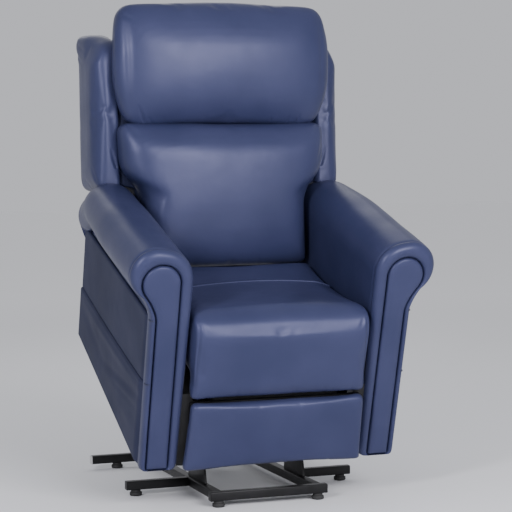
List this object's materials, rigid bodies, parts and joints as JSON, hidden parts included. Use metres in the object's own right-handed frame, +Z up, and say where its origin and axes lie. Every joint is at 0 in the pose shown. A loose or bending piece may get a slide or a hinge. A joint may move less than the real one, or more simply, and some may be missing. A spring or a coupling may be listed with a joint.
{
  "type": "lift recliner chair",
  "caption": "Upholstered lift recliner with rolled arms and pillow back on a low tube base; lift linkage, reclining back, folding leg rest and handset.",
  "frame": {"origin": "middle of the bounding box's underside, on the floor between the feet, in the part-raised pose it is drawn in", "axes": "+Z up; the chair faces -Y; +X is to the left of a person sitting in it"},
  "size_m": [0.848, 0.9222, 1.4011],
  "materials": {
    "leather": "smooth navy leather",
    "side_leather": "smooth navy leather, side panels",
    "black_steel": "satin black powder coat",
    "zinc": "zinc plate",
    "foot_rubber": "matt moulded",
    "casing": "textured moulded",
    "frame_wood": "raw plywood",
    "button": "soft grey"
  },
  "bodies": {
    "base": {"base_front_tube": "black_steel", "base_rear_tube": "black_steel", "lift_actuator_bracket": "black_steel", "base_rail_left": "black_steel", "base_rail_right": "black_steel", "outrigger_left": "black_steel", "outrigger_right": "black_steel", "lift_bracket_left": "black_steel", "lift_bracket_right": "black_steel", "foot_front_left": "foot_rubber", "foot_front_right": "foot_rubber", "foot_side_left": "foot_rubber", "foot_side_right": "foot_rubber", "foot_rear_left": "foot_rubber", "foot_rear_right": "foot_rubber"},
    "rear_links": {"rear_lift_links": "black_steel"},
    "front_links": {"front_lift_link_left": "black_steel", "front_lift_link_right": "black_steel"},
    "lift_actuator": {"lift_actuator": "casing"},
    "lift_actuator_rod": {"lift_actuator_rod": "zinc"},
    "chair": {"lift_frame_side_left": "black_steel", "lift_frame_side_right": "black_steel", "mechanism_plate_left": "black_steel", "mechanism_plate_right": "black_steel", "arm_left": "leather", "arm_right": "leather", "arm_front_panel_left": "leather", "arm_front_panel_right": "leather", "arm_side_panel_left": "side_leather", "arm_side_panel_right": "side_leather", "arm_lower_panel_left": "side_leather", "arm_lower_panel_right": "side_leather", "lift_frame_front_cross": "black_steel", "lift_frame_mid_cross": "black_steel", "lift_frame_rear_cross": "black_steel", "seat_spring_frame": "zinc", "seat_cushion": "leather", "rear_skirt": "side_leather", "handset_pocket": "side_leather", "handset": "casing"},
    "backrest": {"back_frame": "frame_wood", "back_shell": "side_leather", "lumbar_cushion": "leather", "headrest_cushion": "leather", "wing_left": "leather", "wing_right": "leather"},
    "recline_actuator": {"recline_actuator": "casing"},
    "recline_actuator_rod": {"recline_actuator_rod": "zinc"},
    "legrest_outer": {"legrest_shaft": "black_steel", "legrest_outer_link_left": "black_steel", "legrest_outer_link_right": "black_steel"},
    "legrest_inner": {"legrest_inner_link_left": "black_steel", "legrest_inner_link_right": "black_steel"},
    "legrest_panel": {"legrest_board": "black_steel", "legrest_pad": "leather"},
    "legrest_actuator": {"legrest_actuator": "casing"},
    "legrest_actuator_rod": {"legrest_actuator_rod": "zinc"},
    "button_raise": {"handset_button_raise": "button"},
    "button_lower": {"handset_button_lower": "button"}
  },
  "joints": [
    {"name": "lift", "type": "hinge", "parent": "base", "child": "rear_links", "pos_m": [0, -0.0484, 0.1817], "axis": [1, 0, 0], "range_deg": [-46.05, 27.63]},
    {"name": "chair_on_rear_links", "type": "hinge", "parent": "rear_links", "child": "chair", "pos_m": [0, 0.17164, 0.36432], "axis": [1, 0, 0], "range_deg": [-17.2, 28.6]},
    {"name": "front_links_swing", "type": "hinge", "parent": "base", "child": "front_links", "pos_m": [0, -0.1147, 0.1492], "axis": [1, 0, 0], "range_deg": [-54.5, 32.7]},
    {"name": "lift_actuator_swing", "type": "hinge", "parent": "base", "child": "lift_actuator", "pos_m": [0, 0.3532, 0.0649], "axis": [1, 0, 0], "range_deg": [-4.2, 2.6]},
    {"name": "lift_actuator_stroke", "type": "slide", "parent": "lift_actuator", "child": "lift_actuator_rod", "axis": [0, -0.9125, 0.409], "range_m": [-0.0526, 0.0316]},
    {"name": "recline", "type": "hinge", "parent": "chair", "child": "backrest", "pos_m": [0, 0.16401, 0.67122], "axis": [-1, 0, 0], "range_deg": [0, 35]},
    {"name": "recline_actuator_swing", "type": "hinge", "parent": "chair", "child": "recline_actuator", "pos_m": [0, -0.02323, 0.37416], "axis": [1, 0, 0], "range_deg": [0, 4.3]},
    {"name": "recline_actuator_stroke", "type": "slide", "parent": "recline_actuator", "child": "recline_actuator_rod", "axis": [0, 0.8825, 0.4704], "range_m": [-0.1004, 0]},
    {"name": "legrest_extend", "type": "hinge", "parent": "chair", "child": "legrest_outer", "pos_m": [0, -0.26773, 0.30127], "axis": [-1, 0, 0], "range_deg": [0, 74]},
    {"name": "legrest_knee", "type": "hinge", "parent": "legrest_outer", "child": "legrest_inner", "pos_m": [0, -0.27244, 0.15134], "axis": [1, 0, 0], "range_deg": [0, 148.1]},
    {"name": "legrest_panel_tilt", "type": "hinge", "parent": "legrest_inner", "child": "legrest_panel", "pos_m": [0, -0.30567, 0.29762], "axis": [-1, 0, 0], "range_deg": [0, 159.2]},
    {"name": "legrest_actuator_swing", "type": "hinge", "parent": "chair", "child": "legrest_actuator", "pos_m": [0, -0.08505, 0.39598], "axis": [1, 0, 0], "range_deg": [-0.7, 0]},
    {"name": "legrest_actuator_stroke", "type": "slide", "parent": "legrest_actuator", "child": "legrest_actuator_rod", "axis": [0, -0.9608, -0.2773], "range_m": [-0.0555, 0]},
    {"name": "button_raise_press", "type": "slide", "parent": "chair", "child": "button_raise", "axis": [-1, 0, 0], "range_m": [0, 0.0015], "stiffness_N_per_m": 400},
    {"name": "button_lower_press", "type": "slide", "parent": "chair", "child": "button_lower", "axis": [-1, 0, 0], "range_m": [0, 0.0015], "stiffness_N_per_m": 400}
  ],
  "couplings": [
    {"joint": "chair_on_rear_links", "follows": "lift", "ratio": -0.62},
    {"joint": "front_links_swing", "follows": "lift", "ratio": 1.182},
    {"joint": "lift_actuator_swing", "follows": "lift", "ratio": 0.090527},
    {"joint": "lift_actuator_stroke", "follows": "lift", "m_per_rad": 0.065243},
    {"joint": "recline_actuator_swing", "follows": "recline", "ratio": 0.12229},
    {"joint": "recline_actuator_stroke", "follows": "recline", "m_per_rad": -0.16419},
    {"joint": "legrest_knee", "follows": "legrest_extend", "ratio": 2},
    {"joint": "legrest_panel_tilt", "follows": "legrest_extend", "ratio": 2.15},
    {"joint": "legrest_actuator_swing", "follows": "legrest_extend", "ratio": -0.0093243},
    {"joint": "legrest_actuator_stroke", "follows": "legrest_extend", "m_per_rad": -0.042894}
  ]
}
